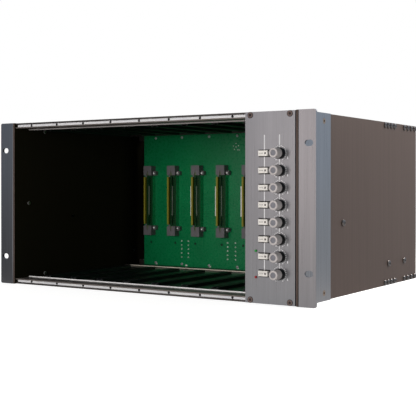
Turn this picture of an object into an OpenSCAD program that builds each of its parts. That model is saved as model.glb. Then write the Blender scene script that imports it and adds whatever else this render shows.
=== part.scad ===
// Subrack card cage, 19 inch rack width, with a backplane, edge connectors and one
// control module. Millimetres, +Z up, front towards -Y. The origin is the centre of
// the four rack slots, in the plane of the front face of the rack ears.

/* [Rack] */
// Width over both rack ears
rack_w = 482.6; // [478:0.1:486]
// Height of the cage, 5 rack units less a working gap
cage_h = 221.46; // [215:0.02:225]
// Width over the outer faces of the side plates
cage_w = 438; // [437:0.1:439]
// Depth of the side plates, from the front face of the ears
cage_d = 379; // [372:1:400]
// Thickness of the side plates
side_t = 2.4; // [2.2:0.1:3]

/* [Ears] */
// Thickness of the ear angle
ear_t = 3; // [2.2:0.1:3.3]
// Depth of the leg that lies along the side plate
ear_leg_d = 80; // [70:1:95]
// Distance between the slots, across the rack
slot_spacing_x = 465.1; // [464:0.1:466]
// Distance between the slots, up the ear
slot_spacing_z = 146.05; // [133:0.05:160]
// End-to-end length of each slot
slot_len = 10.5; // [8:0.1:12]
// Height of each slot
slot_w = 7.1; // [6.5:0.1:8]

/* [Module slots] */
// Number of open module slots
slot_count = 8; // [4:1:8]
// Distance from one module to the next, 9 pitches of 5.08
slot_pitch = 45.72; // [45.72]
// Centre of the first slot
first_slot_x = -190.5; // [-191:0.1:-188]

/* [Control module] */
// Width of the front panel
panel_w = 64.5; // [64:0.1:65]
// Thickness of the front panel
panel_t = 3; // [2:0.1:3]
// Number of channels, each with a button and a knob
channels = 8; // [8]
// Distance from one channel to the next
row_pitch = 19.66; // [19:0.01:20]
// Height of the top channel over the middle of the rack
top_row_z = 62.3; // [60:0.1:65]
// Place of the button column
button_x = 176.3; // [175:0.1:177]
// Place of the knob column
knob_x = 195.7; // [195:0.1:197]
// Travel of a push button
button_travel = 2.5; // [1.5:0.1:3]
// Diameter of a knob where it meets its nut cover
knob_d = 11.7; // [11.4:0.1:12.4]
// Distance of a knob's face from the panel
knob_reach = 15.5; // [14:0.1:17]

/* [Hidden] */
$fn = 48;
eps = 0.01;

// Main planes
half_h = cage_h / 2;
side_in_x = cage_w / 2 - side_t;        // inner face of a side plate
inner_w = 2 * side_in_x;
board_t = 1.6;                          // every circuit board

// Front rail section: depth along Y, heights above the lower edge of the cage
rail_y0 = panel_t;
rail_y1 = 30;
rail_foot_h0 = 0.3;
rail_foot_h1 = 2.3;
rail_roof_h0 = 5.7;
rail_roof_h1 = 7.2;
lip_h = 8.7;                            // lips that meet the card guides
lip_t = 1.4;
screw_line_h = 4;                       // threaded holes and screw channels
end_screw_y = 19;
end_core_r = 1.7;                       // screw channel, cored for M4
ledge_d = 3;                            // ledge under each cover
ledge_h0 = 3.4;

// Threaded strip in the rail's front channel
strip_y0 = 7;
strip_t = 2;
strip_h = 5;
strip_play = 0.1;
m3_r = 1.5;

// Covers and card guides
cover_t = 1.6;
cover_h0 = ledge_h0 + cover_t;
cover_h1 = cover_h0 + cover_t;
guide_y0 = 41;
guide_y1 = 226;
guide_w = 10;
guide_h1 = 10.2;
groove_h = 8.8;
groove_w = 2.2;

// Rear rail section
rear_y0 = 252;
rear_y1 = 299.6;
backplane_y = 288;
upstand_y = backplane_y + board_t;
upstand_t = 3;
rear_top_h = 6.2;
nose_d = 1.2;                           // nose along the front lip
nose_h = 1.4;
upstand_h = 14;
rear_screw_ys = [for (k = [0:3]) 259.5 + 11.5 * k];

// Rear crossbar section
bar_y0 = 324;
bar_top_h = 6.2;
bar_screw_ys = [for (k = [0:3]) 331 + 14 * k];

// Backplane and edge connectors
backplane_h = 208.8;
backplane_w = 410.8;
board_screw_xs = [for (k = [0:7]) -182 + 50.8 * k];
board_screw_z = 100.3;
board_screw_r = 1.25;
module_x = 186;                         // centre plane of the module's board
connector_xs = concat([for (k = [0:slot_count - 1]) first_slot_x + k * slot_pitch], [module_x]);
conn_y0 = 276;                          // front of the end blocks
conn_face_y = 281;                      // face of the contact body
conn_w = 15.2;
conn_half = 55.5;
conn_block = 15;
conn_inner = conn_half - conn_block;    // the contact body lies between the blocks
body_x1 = 7;
wall_w = 2.9;                           // raised wall to the left of the contacts
wall_half = 37.7;
conn_ear_x1 = 12.7;
conn_ear_y = 281.5;
conn_screw_dx = 10.2;
conn_screw_z = 43.7;
card_slot_w = 2;
card_slot_half = 38.6;
card_slot_d = 5.5;
channel_dx = 2.6;                       // contact channels beside the card slot
channel_w = 1.3;
channel_d = 1.6;
channel_half = 36;
funnel_half = 2.2;                      // lead-in cut into both end blocks
funnel_d = 6;
funnel_len = 8;

// Control module
panel_gap = 1.1;                        // between the panel and a side plate
panel_x = side_in_x - panel_gap - panel_w / 2;
panel_h = cage_h - 0.8;
panel_screw_dx = 25.65;
row_zs = [for (k = [0:channels - 1]) top_row_z - k * row_pitch];
cap_w = 12;
cap_h = 6.2;
cap_out = 4;
switch_gap = 0.4;
switch_wall = 0.8;
switch_proud = 0.7;
nut_cover_r = 6.5;
nut_cover_d = 4.2;
knob_base = nut_cover_d + 0.4;          // distance of a knob's back from the panel
knob_face_r = 5.4;
dish_r = 3.4;                           // recess for the cap
pointer_w = 0.9;                        // groove in the knob's face
pointer_d = 0.3;
pointer_turn = -150;                    // every knob stands at its lower stop
shaft_r = 3;
shaft_play = 0.05;
bushing_r = 3.5;
green_led = [165.2, -49.8];
red_led = [165.2, -80.2];
led_r = 1.5;

// Fasteners
m4_r = 2;
sink_r = 3.5;                           // countersunk head
sink_d = 2;
panel_head_r = 3.1;
panel_sink_r = 3.7;                     // counterbore in the panel
panel_sink_d = 1.4;

// ---------------------------------------------------------------- helpers

// A section drawn as (y, height over the cage's lower edge), run along X
module along_x(len) {
    translate([0, 0, -half_h]) rotate([90, 0, 90]) linear_extrude(len, center = true) children();
}

// Children drawn for the bottom; the top is their mirror image
module at_level(top) {
    mirror([0, 0, top ? 1 : 0]) children();
}

// Children drawn for the right side; the left is their mirror image
module on_side(left) {
    mirror([left ? 1 : 0, 0, 0]) children();
}

// A round bar from y0 to y1
module bar_y(r, y0, y1, fn = 48) {
    translate([0, y0, 0]) rotate([-90, 0, 0]) cylinder(r = r, h = y1 - y0, $fn = fn);
}

// A round bar from x0 to x1
module bar_x(r, x0, x1, fn = 48) {
    translate([x0, 0, 0]) rotate([0, 90, 0]) cylinder(r = r, h = x1 - x0, $fn = fn);
}

// A box by its corners
module block(p, q) {
    translate(p) cube(q - p);
}

// ---------------------------------------------------------------- side plates and ears

// Places of the fasteners on a side plate, as [depth, height]
ear_screw_sites = [[62, half_h - 9.6], [62, -half_h + 9.6], [29, 0]];
plate_screw_sites = [[272, -81.2], [330, -81.2], [122, -20.7]];
front_end_sites = [for (s = [-1, 1]) [end_screw_y, s * (half_h - screw_line_h)]];
rear_end_sites = [for (s = [-1, 1]) for (y = concat(rear_screw_ys, bar_screw_ys))
    [y, s * (half_h - screw_line_h)]];

plate_y0 = 0.6;                         // the plates stand a little behind the ears
ear_edge = 0.9;                         // rounded-off corner beside each plate

// A countersink that opens towards +X, with its mouth at the origin
module countersink(play) {
    translate([-sink_d, 0, 0]) rotate([0, 90, 0])
        cylinder(r1 = m4_r + play, r2 = sink_r + play, h = sink_d + eps);
}

module side_plate() {
    out_x = cage_w / 2;
    difference() {
        block([side_in_x, plate_y0, -half_h], [out_x, cage_d, half_h]);
        for (s = concat(ear_screw_sites, front_end_sites, rear_end_sites, plate_screw_sites))
            translate([0, s.x, s.y]) bar_x(m4_r + 0.1, side_in_x - 1, out_x + 1);
        for (s = front_end_sites) translate([out_x, s.x, s.y]) countersink(0.1);
    }
}

module side_plate_left() { color("#3c3533") on_side(true) side_plate(); }
module side_plate_right() { color("#6b605c") on_side(false) side_plate(); }

module slot_hole() {
    reach = (slot_len - slot_w) / 2;
    for (s = [-1, 1]) translate([s * reach, 0, 0]) bar_y(slot_w / 2, -1, ear_t + 1);
    block([-reach, -1, -slot_w / 2], [reach, ear_t + 1, slot_w / 2]);
}

module rack_ear() {
    leg_x = cage_w / 2;
    r = 2.5;
    edge_x = rack_w / 2;
    difference() {
        union() {
            rotate([90, 0, 0]) translate([0, 0, -ear_t]) linear_extrude(ear_t) union() {
                translate([leg_x, -half_h]) square([edge_x - r - leg_x, cage_h]);
                translate([leg_x, -half_h + r]) square([edge_x - leg_x, cage_h - 2 * r]);
                for (s = [-1, 1]) translate([edge_x - r, s * (half_h - r)]) circle(r);
            }
            block([leg_x, 0, -half_h], [leg_x + ear_t, ear_leg_d, half_h]);
        }
        linear_extrude(cage_h + 2, center = true)
            polygon([[leg_x - eps, -eps], [leg_x + ear_edge, -eps], [leg_x - eps, ear_edge]]);
        for (s = [-1, 1]) translate([slot_spacing_x / 2, 0, s * slot_spacing_z / 2]) slot_hole();
        for (s = ear_screw_sites) translate([leg_x + ear_t, s.x, s.y]) {
            bar_x(m4_r + 0.1, -ear_t - 1, 1);
            countersink(0.1);
        }
    }
}

module rack_ear_left() { color("#4d5059") on_side(true) rack_ear(); }
module rack_ear_right() { color("#76797f") on_side(false) rack_ear(); }

// ---------------------------------------------------------------- rails and strips

module front_rail_section() {
    groove = [strip_t + 2 * strip_play, strip_h + 2 * strip_play];
    difference() {
        union() {
            translate([rail_y0, rail_foot_h0]) square([rail_y1 - rail_y0, rail_foot_h1 - rail_foot_h0]);
            translate([rail_y0, rail_roof_h0]) square([rail_y1 - rail_y0, rail_roof_h1 - rail_roof_h0]);
            translate([12, rail_foot_h0]) square([2, rail_roof_h1 - rail_foot_h0]);
            translate([15.8, rail_foot_h0]) square([6.4, rail_roof_h1 - rail_foot_h0]);
            translate([rail_y1 - lip_t, rail_foot_h0]) square([lip_t, lip_h - rail_foot_h0]);
            translate([rail_y1 - eps, ledge_h0]) square([ledge_d + eps, cover_t]);
        }
        translate([strip_y0 - strip_play, screw_line_h - groove.y / 2]) square(groove);
        translate([end_screw_y, screw_line_h]) circle(end_core_r);
    }
}

module front_rail(top) {
    at_level(top) along_x(inner_w) front_rail_section();
}

module front_rail_top() { color("#8a8a86") front_rail(true); }
module front_rail_bottom() { color("#8a8a86") front_rail(false); }

strip_hole_xs = concat([for (k = [0:slot_count - 1]) first_slot_x + k * slot_pitch],
    [for (s = [-1, 1]) panel_x + s * panel_screw_dx]);

module threaded_strip(top) {
    at_level(top) difference() {
        along_x(inner_w - 1) translate([strip_y0, screw_line_h - strip_h / 2]) square([strip_t, strip_h]);
        for (x = strip_hole_xs) translate([x, 0, screw_line_h - half_h])
            bar_y(m3_r, strip_y0 - 1, strip_y0 + strip_t + 1);
    }
}

module threaded_strip_top() { color("#dcdcdf") threaded_strip(true); }
module threaded_strip_bottom() { color("#dcdcdf") threaded_strip(false); }

// A wide hollow extrusion: front lip, flat roof, screw channels, and an optional
// upstand that carries a board or a panel
module wide_rail_section(y0, y1, roof_h, lip, screw_ys, stand_y) {
    wall = 1.6;
    difference() {
        union() {
            translate([y0, rail_foot_h0]) square([y1 - y0, wall]);
            translate([y0, roof_h - wall]) square([y1 - y0, wall]);
            translate([y0, rail_foot_h0]) square([lip_t, lip - rail_foot_h0]);
            for (y = screw_ys) translate([y - 3, rail_foot_h0]) square([6, roof_h - rail_foot_h0]);
            translate([stand_y, rail_foot_h0]) square([upstand_t, upstand_h - rail_foot_h0]);
        }
        for (y = screw_ys) translate([y, screw_line_h]) circle(end_core_r);
    }
}

module rear_rail(top) {
    at_level(top) difference() {
        along_x(inner_w) union() {
            wide_rail_section(rear_y0, rear_y1, rear_top_h, lip_h, rear_screw_ys, upstand_y);
            translate([rear_y0 - nose_d, lip_h - nose_h]) square([nose_d + eps, nose_h]);
            translate([rear_y0 - ledge_d, ledge_h0]) square([ledge_d + eps, cover_t]);
        }
        for (x = board_screw_xs) translate([x, 0, -board_screw_z])
            bar_y(board_screw_r, upstand_y - 1, upstand_y + upstand_t + 1);
    }
}

module rear_rail_top() { color("#9a9a94") rear_rail(true); }
module rear_rail_bottom() { color("#9a9a94") rear_rail(false); }

module rear_crossbar(top) {
    at_level(top) difference() {
        along_x(inner_w)
            wide_rail_section(bar_y0, cage_d, bar_top_h, bar_top_h, bar_screw_ys, cage_d - upstand_t);
        for (x = board_screw_xs) translate([x, 0, -board_screw_z])
            bar_y(board_screw_r, cage_d - upstand_t - 1, cage_d + 1);
    }
}

module rear_crossbar_top() { color("#8a8a86") rear_crossbar(true); }
module rear_crossbar_bottom() { color("#8a8a86") rear_crossbar(false); }

// ---------------------------------------------------------------- covers and guides

module cover(top) {
    at_level(top) along_x(inner_w) translate([rail_y1, cover_h0]) square([rear_y0 - rail_y1, cover_t]);
}

module cover_top() { color("#1b1c1b") cover(true); }
module cover_bottom() { color("#1b1c1b") cover(false); }

module card_guide() {
    flare = 16;
    difference() {
        block([-guide_w / 2, guide_y0, cover_h1], [guide_w / 2, guide_y1, guide_h1]);
        block([-groove_w / 2, guide_y0 - 1, groove_h], [groove_w / 2, guide_y1 + 1, guide_h1 + 1]);
        translate([0, guide_y0 - 1, groove_h]) linear_extrude(5)
            polygon([[-groove_w / 2 - 1.6, 0], [groove_w / 2 + 1.6, 0],
                [groove_w / 2, flare], [-groove_w / 2, flare]]);
    }
}

module card_guides() {
    color("#141514") for (top = [false, true]) at_level(top)
        for (x = connector_xs) translate([x, 0, -half_h]) card_guide();
}

// ---------------------------------------------------------------- backplane

module backplane() {
    color("#0f5a34") difference() {
        block([-backplane_w / 2, backplane_y, -backplane_h / 2],
            [backplane_w / 2, backplane_y + board_t, backplane_h / 2]);
        for (x = board_screw_xs) for (s = [-1, 1]) translate([x, 0, s * board_screw_z])
            bar_y(board_screw_r + 0.1, backplane_y - 1, backplane_y + board_t + 1);
        for (x = connector_xs) for (s = [-1, 1])
            translate([x + conn_screw_dx, 0, s * conn_screw_z])
                bar_y(board_screw_r, backplane_y - 1, backplane_y + board_t + 1);
    }
}

// Contact body between two end blocks; the card's tongue enters at x = 0
module edge_connector() {
    x0 = -conn_w / 2;
    difference() {
        union() {
            block([x0, conn_face_y, -conn_inner - eps], [body_x1, backplane_y, conn_inner + eps]);
            block([x0, conn_y0 + 0.5, -wall_half], [x0 + wall_w, backplane_y, wall_half]);
            for (s = [-1, 1]) at_level(s > 0) translate([0, 0, -conn_half]) {
                block([x0, conn_y0, 0], [-x0, backplane_y, conn_block]);
                block([x0, conn_ear_y, conn_block - 6.4], [conn_ear_x1, backplane_y, conn_block]);
            }
        }
        block([-card_slot_w / 2, conn_face_y - 1, -card_slot_half],
            [card_slot_w / 2, conn_face_y + card_slot_d, card_slot_half]);
        for (s = [-1, 1]) {
            block([s * channel_dx - channel_w / 2, conn_face_y - 1, -channel_half],
                [s * channel_dx + channel_w / 2, conn_face_y + channel_d, channel_half]);
            at_level(s > 0) translate([0, conn_y0 - 1, -conn_inner]) rotate([-90, 0, 0])
                linear_extrude(funnel_d + 1) polygon([[-funnel_half, -1], [funnel_half, -1], [0, funnel_len]]);
            translate([conn_screw_dx, 0, s * conn_screw_z])
                bar_y(board_screw_r + 0.1, conn_ear_y - 1, backplane_y + 1);
        }
    }
}

module edge_connectors() {
    color("#3a3a3d") for (x = connector_xs) translate([x, 0, 0]) edge_connector();
}

// ---------------------------------------------------------------- control module

module front_panel() {
    color("#8b8a8e") difference() {
        block([panel_x - panel_w / 2, 0, -panel_h / 2], [panel_x + panel_w / 2, panel_t, panel_h / 2]);
        for (z = row_zs) {
            w = cap_w / 2 + switch_gap + switch_wall + 0.05;
            h = cap_h / 2 + switch_gap + switch_wall + 0.05;
            block([button_x - w, -1, z - h], [button_x + w, panel_t + 1, z + h]);
            translate([knob_x, 0, z]) bar_y(bushing_r + 0.1, -1, panel_t + 1);
        }
        for (s = [-1, 1]) for (t = [-1, 1])
            translate([panel_x + s * panel_screw_dx, 0, t * (half_h - screw_line_h)]) {
                bar_y(m3_r + 0.1, -1, panel_t + 1);
                bar_y(panel_sink_r, -1, panel_sink_d);
            }
        for (p = [green_led, red_led]) translate([p.x, 0, p.y]) bar_y(led_r + 0.1, -1, panel_t + 1);
    }
}

module module_board() {
    color("#1e6a3c") difference() {
        block([module_x - board_t / 2, panel_t + 1.5, -half_h + groove_h + 0.15],
            [module_x + board_t / 2, conn_face_y + card_slot_d - 0.5, half_h - groove_h - 0.15]);
        for (s = [-1, 1]) at_level(s > 0)
            block([module_x - 1, conn_y0 - 6, -half_h], [module_x + 1, backplane_y, -card_slot_half + 0.4]);
    }
}

module push_switch() {
    w = cap_w / 2 + switch_gap;
    h = cap_h / 2 + switch_gap;
    back = 30;
    difference() {
        block([-w - switch_wall, -switch_proud, -h - switch_wall], [w + switch_wall, back, h + switch_wall]);
        block([-w, -1, -h], [w, 11, h]);
        block([-1.8, 10, -1.8], [1.8, 24, 1.8]);
    }
    for (y = [14, 26]) for (z = [-2.5, 2.5])
        translate([0, y, z]) bar_x(0.4, w + switch_wall - eps, module_x - board_t / 2 - button_x, 16);
}

module push_switches() {
    color("#1d1d1f") for (z = row_zs) translate([button_x, 0, z]) push_switch();
}

module potentiometer() {
    difference() {
        union() {
            bar_y(bushing_r, -3, 7.5);
            bar_y(8, 7, 16);
            block([-8.4, 7, -4], [0, 13, 4]);
        }
        bar_y(shaft_r + shaft_play, -4, 12);
    }
    for (z = [-2.5, 0, 2.5])
        translate([0, 10, z]) bar_x(0.4, module_x + board_t / 2 - knob_x, -8.3, 16);
}

module potentiometers() {
    color("#3b4a6b") for (z = row_zs) translate([knob_x, 0, z]) potentiometer();
}

// Round covers with the nuts moulded in
module pot_nuts() {
    color("#161616") for (z = row_zs) translate([knob_x, 0, z]) difference() {
        rotate([90, 0, 0]) rotate_extrude() polygon([[0, 0], [nut_cover_r, 0],
            [nut_cover_r, nut_cover_d - 0.6], [nut_cover_r - 0.6, nut_cover_d], [0, nut_cover_d]]);
        bar_y(bushing_r + 0.05, -nut_cover_d - 1, 1);
    }
}

module led(p) {
    translate([p.x, 0, p.y]) {
        bar_y(led_r, -0.6, 4);
        translate([0, -0.6, 0]) sphere(led_r);
        bar_y(led_r + 0.3, panel_t, 4);
        for (s = [-1, 1]) {
            block([-0.25, 4 - eps, s * 1 - 0.25], [0.25, 34, s * 1 + 0.25]);
            block([-0.25, 33.5, s * 1 - 0.25], [module_x - board_t / 2 - p.x, 34, s * 1 + 0.25]);
        }
    }
}

module led_green() { color("#35b24a") led(green_led); }
module led_red() { color("#b0262b") led(red_led); }

module button(k) {
    color("#e6e2da") translate([button_x, 0, row_zs[k - 1]]) {
        block([-cap_w / 2, -cap_out, -cap_h / 2], [cap_w / 2, 4, cap_h / 2]);
        block([-1.5, 4 - eps, -1.5], [1.5, 20, 1.5]);
    }
}

module knob(k) {
    color("#8c8c8e") translate([knob_x, 0, row_zs[k - 1]]) difference() {
        rotate([90, 0, 0]) rotate_extrude($fn = 64)
            polygon([[shaft_r, knob_reach - 4], [0, knob_reach - 4], [0, knob_reach - 1.3],
                [dish_r, knob_reach - 1.3], [dish_r, knob_reach], [knob_face_r - 0.4, knob_reach],
                [knob_face_r, knob_reach - 0.4], [knob_d / 2, knob_base], [shaft_r, knob_base]]);
        rotate([0, pointer_turn, 0]) block([-pointer_w / 2, -knob_reach - 1, dish_r - 0.6],
            [pointer_w / 2, -knob_reach + pointer_d, knob_face_r + 1]);
    }
}

module knob_cap(k) {
    color("#8f93a5") translate([knob_x, 0, row_zs[k - 1]])
        bar_y(dish_r - 0.05, -knob_reach + 0.5, -knob_reach + 1.3, 64);
}

module pot_shaft(k) {
    color("#b9b9bb") translate([knob_x, 0, row_zs[k - 1]]) bar_y(shaft_r, -knob_reach + 4, 11.5);
}

module button_1() { button(1); }
module button_2() { button(2); }
module button_3() { button(3); }
module button_4() { button(4); }
module button_5() { button(5); }
module button_6() { button(6); }
module button_7() { button(7); }
module button_8() { button(8); }
module knob_1() { knob(1); }
module knob_2() { knob(2); }
module knob_3() { knob(3); }
module knob_4() { knob(4); }
module knob_5() { knob(5); }
module knob_6() { knob(6); }
module knob_7() { knob(7); }
module knob_8() { knob(8); }
module knob_cap_1() { knob_cap(1); }
module knob_cap_2() { knob_cap(2); }
module knob_cap_3() { knob_cap(3); }
module knob_cap_4() { knob_cap(4); }
module knob_cap_5() { knob_cap(5); }
module knob_cap_6() { knob_cap(6); }
module knob_cap_7() { knob_cap(7); }
module knob_cap_8() { knob_cap(8); }
module pot_shaft_1() { pot_shaft(1); }
module pot_shaft_2() { pot_shaft(2); }
module pot_shaft_3() { pot_shaft(3); }
module pot_shaft_4() { pot_shaft(4); }
module pot_shaft_5() { pot_shaft(5); }
module pot_shaft_6() { pot_shaft(6); }
module pot_shaft_7() { pot_shaft(7); }
module pot_shaft_8() { pot_shaft(8); }

// ---------------------------------------------------------------- fasteners

// Raised panel screw with a hexagon socket, head towards -Y
module panel_screw() {
    difference() {
        union() {
            bar_y(panel_head_r, -0.4, panel_sink_d);
            bar_y(m3_r - 0.05, panel_sink_d - eps, strip_y0 + strip_t + 1);
        }
        bar_y(1.7, -1, 0.9, 6);
    }
}

module panel_screws() {
    color("#5a463c") for (s = [-1, 1]) for (t = [-1, 1])
        translate([panel_x + s * panel_screw_dx, 0, t * (half_h - screw_line_h)]) panel_screw();
}

// Countersunk screw with a hexagon socket, its head flush at the origin, facing +X
module countersunk_screw(r, len) {
    difference() {
        rotate([0, 90, 0]) rotate_extrude()
            polygon([[0, -len], [r, -len], [r, -sink_d], [sink_r, 0], [0, 0]]);
        bar_x(1.5, -1.4, 1, 6);
    }
}

module ear_screws() {
    color("#3a3029") for (left = [false, true]) on_side(left) {
        for (s = ear_screw_sites) translate([cage_w / 2 + ear_t, s.x, s.y])
            countersunk_screw(m4_r, ear_t + side_t + 1.5);
        for (s = front_end_sites) translate([cage_w / 2, s.x, s.y])
            countersunk_screw(end_core_r, side_t + 9);
    }
}

// Pan head with a cross recess, head towards +X
module pan_screw(r, head_r, head_h, len) {
    difference() {
        rotate([0, 90, 0]) rotate_extrude() polygon([[0, -len], [r, -len], [r, 0], [head_r, 0],
            [head_r, head_h * 0.35], [head_r * 0.85, head_h * 0.78], [head_r * 0.5, head_h], [0, head_h]]);
        for (a = [0, 90]) rotate([a, 0, 0]) block([head_h - 1.2, -head_r * 0.55, -0.45],
            [head_h + 1, head_r * 0.55, 0.45]);
    }
}

module side_screws() {
    color("#46423f") for (left = [false, true]) on_side(left) {
        for (s = rear_end_sites)
            translate([cage_w / 2, s.x, s.y]) pan_screw(end_core_r, 3.9, 2.4, side_t + 8);
        for (s = plate_screw_sites)
            translate([cage_w / 2, s.x, s.y]) pan_screw(m4_r, 4.2, 2.6, side_t + 2);
    }
}

module board_screws() {
    color("#c9c9c6") {
        for (x = board_screw_xs) for (s = [-1, 1]) translate([x, backplane_y, s * board_screw_z])
            rotate([0, 0, -90]) pan_screw(board_screw_r - 0.05, 2.2, 1.5, board_t + upstand_t);
        for (x = connector_xs) for (s = [-1, 1])
            translate([x + conn_screw_dx, conn_ear_y, s * conn_screw_z])
                rotate([0, 0, -90])
                    pan_screw(board_screw_r - 0.05, 2.3, 2.4, backplane_y - conn_ear_y + board_t + 1);
    }
}

side_plate_left();
side_plate_right();
rack_ear_left();
rack_ear_right();
front_rail_top();
front_rail_bottom();
threaded_strip_top();
threaded_strip_bottom();
rear_rail_top();
rear_rail_bottom();
rear_crossbar_top();
rear_crossbar_bottom();
cover_top();
cover_bottom();
card_guides();
backplane();
edge_connectors();
front_panel();
module_board();
push_switches();
potentiometers();
pot_nuts();
led_green();
led_red();
button_1();
button_2();
button_3();
button_4();
button_5();
button_6();
button_7();
button_8();
knob_1();
knob_2();
knob_3();
knob_4();
knob_5();
knob_6();
knob_7();
knob_8();
knob_cap_1();
knob_cap_2();
knob_cap_3();
knob_cap_4();
knob_cap_5();
knob_cap_6();
knob_cap_7();
knob_cap_8();
pot_shaft_1();
pot_shaft_2();
pot_shaft_3();
pot_shaft_4();
pot_shaft_5();
pot_shaft_6();
pot_shaft_7();
pot_shaft_8();
panel_screws();
ear_screws();
side_screws();
board_screws();
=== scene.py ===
"""Finish and small detail of a rack-mount card cage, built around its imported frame."""

import math

import bmesh
import bpy
from bpy.props import FloatProperty, FloatVectorProperty, PointerProperty
from mathutils import Matrix, Vector


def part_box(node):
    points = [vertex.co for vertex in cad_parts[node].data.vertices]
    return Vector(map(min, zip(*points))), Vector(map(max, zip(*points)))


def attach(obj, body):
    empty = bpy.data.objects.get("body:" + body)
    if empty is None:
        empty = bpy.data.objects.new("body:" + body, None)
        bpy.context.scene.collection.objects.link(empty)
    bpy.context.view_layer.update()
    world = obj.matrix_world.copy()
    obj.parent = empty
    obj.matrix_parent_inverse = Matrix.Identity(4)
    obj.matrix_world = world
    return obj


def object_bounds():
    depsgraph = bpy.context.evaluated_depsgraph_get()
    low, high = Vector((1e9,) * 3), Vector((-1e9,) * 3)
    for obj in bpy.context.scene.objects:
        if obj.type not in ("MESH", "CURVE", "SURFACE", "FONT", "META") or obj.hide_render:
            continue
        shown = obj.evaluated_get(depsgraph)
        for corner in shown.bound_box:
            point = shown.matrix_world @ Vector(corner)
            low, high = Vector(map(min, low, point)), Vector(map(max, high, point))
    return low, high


bl_info = {
    "name": "Card cage finish",
    "version": (1, 1, 0),
    "blender": (4, 5, 0),
    "location": "3D View > Sidebar > Card Cage",
    "description": "Finishes the sheet metal, boards, connectors and controls of a card cage",
    "category": "Object",
}

MM = 0.001
FIXED = "cage"
STEEL, MOULDING = "board_screw_steel", "connector_moulding"
CHANNELS = range(1, 9)
OPEN_SLOTS = 8
CONTACT_ROWS, CONTACT_X = 18, 2.6 * MM


def mm(*values):
    return tuple(value * MM for value in values)


FIRST_SLOT = -190.5 * MM
PLATE_FACES = mm(216.6, 219.0)  # inner and outer face of a side plate
# Painted shade: the plates' inner faces darken over this depth
REAR_SHADE_DEPTHS = mm(240, 275)  # depth at which the plates' inner faces fade
# Painted shade: the rails' flanges darken over these heights
FLANGE_SHADE_HEIGHTS = mm(100, 112)  # height at which the rails' flanges fade
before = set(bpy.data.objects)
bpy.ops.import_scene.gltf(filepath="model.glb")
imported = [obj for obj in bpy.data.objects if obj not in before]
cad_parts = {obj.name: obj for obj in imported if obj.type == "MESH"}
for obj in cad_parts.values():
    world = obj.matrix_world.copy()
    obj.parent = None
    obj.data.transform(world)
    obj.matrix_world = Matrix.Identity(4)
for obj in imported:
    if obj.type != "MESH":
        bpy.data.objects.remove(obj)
cad_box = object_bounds()


# ---- properties


def colour(name, text, value):
    return FloatVectorProperty(name=name, description=text, default=value, size=3,
                               subtype="COLOR", min=0.0, max=1.0)


def length(name, text, value):
    return FloatProperty(name=name, description=text, default=value, unit="LENGTH",
                         subtype="DISTANCE", min=0.0, precision=5)


def share(name, text, value):
    return FloatProperty(name=name, description=text, default=value, min=0.0, max=1.0,
                         subtype="FACTOR")


def angle(name, text, degrees):
    return FloatProperty(name=name, description=text, default=math.radians(degrees),
                         subtype="ANGLE")


def level(name, text, value):
    return FloatProperty(name=name, description=text, default=value, min=0.0)


class CagePaint(bpy.types.PropertyGroup):
    """Paints and metals of the cage itself"""

    side: colour("Side plates", "Satin finish outside the side plates", (0.128, 0.094, 0.079))
    # The inner faces are painted near-black as shade for the unlit inside of the cage
    side_inner_shade: colour("Inside of the plates", "Black inner faces", (0.014, 0.013, 0.007))
    side_edge: colour("Side plate edges", "Sheared edges of the plates", (0.14, 0.105, 0.094))
    ear: colour("Rack ears", "Brushed finish of the rack ears", (0.227, 0.222, 0.228))
    rail: colour("Rails", "Bronze anodised extrusions", (0.16, 0.135, 0.12))
    strip: colour("Threaded strips", "Bright zinc on the strips", (0.94, 0.95, 1.0))
    # The milled edges are bare metal whose brightness is partly painted: painted highlight on the
    # lower and rear lips, painted shade on the dimmer upper one
    milled: colour("Lower milled edge", "Bare edge of the lower rail lip", (0.98, 0.97, 0.96))
    milled_upper: colour("Upper milled edge", "Bare edge of the upper rail lip", (0.42, 0.40, 0.39))
    milled_rear: colour("Rear milled edge", "Bare nose of the rear rail", (0.78, 0.72, 0.60))
    cover: colour("Covers", "Black satin paint on the covers", (0.006, 0.007, 0.006))
    guide: colour("Card guides", "Black moulded guides", (0.006, 0.006, 0.006))
    screw_dark: colour("Panel screws", "Bronzed heads on the panel", (0.165, 0.120, 0.105))
    screw_ear: colour("Ear screws", "Heads sunk in the ears", (0.26, 0.19, 0.14))
    screw_black: colour("Side screws", "Blackened pan heads", (0.14, 0.122, 0.112))
    screw_zinc: colour("Plated screws", "Zinc plated heads", (0.78, 0.78, 0.76))
    gloss: share("Paint roughness", "Roughness of the satin paint", 0.40)
    grain: length("Grain of the paint", "Size of the paint's fine texture", 0.0006)
    brush: length("Brush grain", "Width of the streaks of the brushed sheet", 0.0011)


class BoardFinish(bpy.types.PropertyGroup):
    """Circuit boards, connectors and contacts"""

    mask: colour("Solder mask", "Green lacquer over the laminate", (0.003, 0.188, 0.060))
    module_mask: colour("Module mask", "Green lacquer of the plug-in board", (0.004, 0.12, 0.045))
    tin: colour("Tinned pads", "Tinned copper on the boards", (0.88, 0.90, 0.82))
    silk: colour("Silk print", "White print on the boards", (0.84, 0.83, 0.79))
    moulding: colour("Connector body", "Glass-filled moulding", (0.150, 0.145, 0.150))
    face: colour("Contact body", "Face around the contacts", (0.003, 0.046, 0.012))
    wall: colour("Wall side", "Inner side of the raised wall", (0.14, 0.15, 0.006))
    wall_edge: colour("Wall edge", "Front edge of the raised wall", (0.27, 0.24, 0.025))
    # The gold is darkened towards olive: painted shade for contacts deep inside the connectors
    contact: colour("Contacts", "Gold flash over bronze", (0.20, 0.20, 0.06))
    spring: colour("Slot spring", "Tinned spring along the card slot", (0.30, 0.36, 0.28))
    resist: colour("Resistors", "Buff bodies", (0.42, 0.30, 0.17))
    can: colour("Capacitors", "Blue sleeves", (0.02, 0.035, 0.12))
    pitch: length("Contact pitch", "Distance between contacts", 0.00396)
    slot_pitch: length("Slot pitch", "Distance between card slots", 0.04572)


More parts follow.
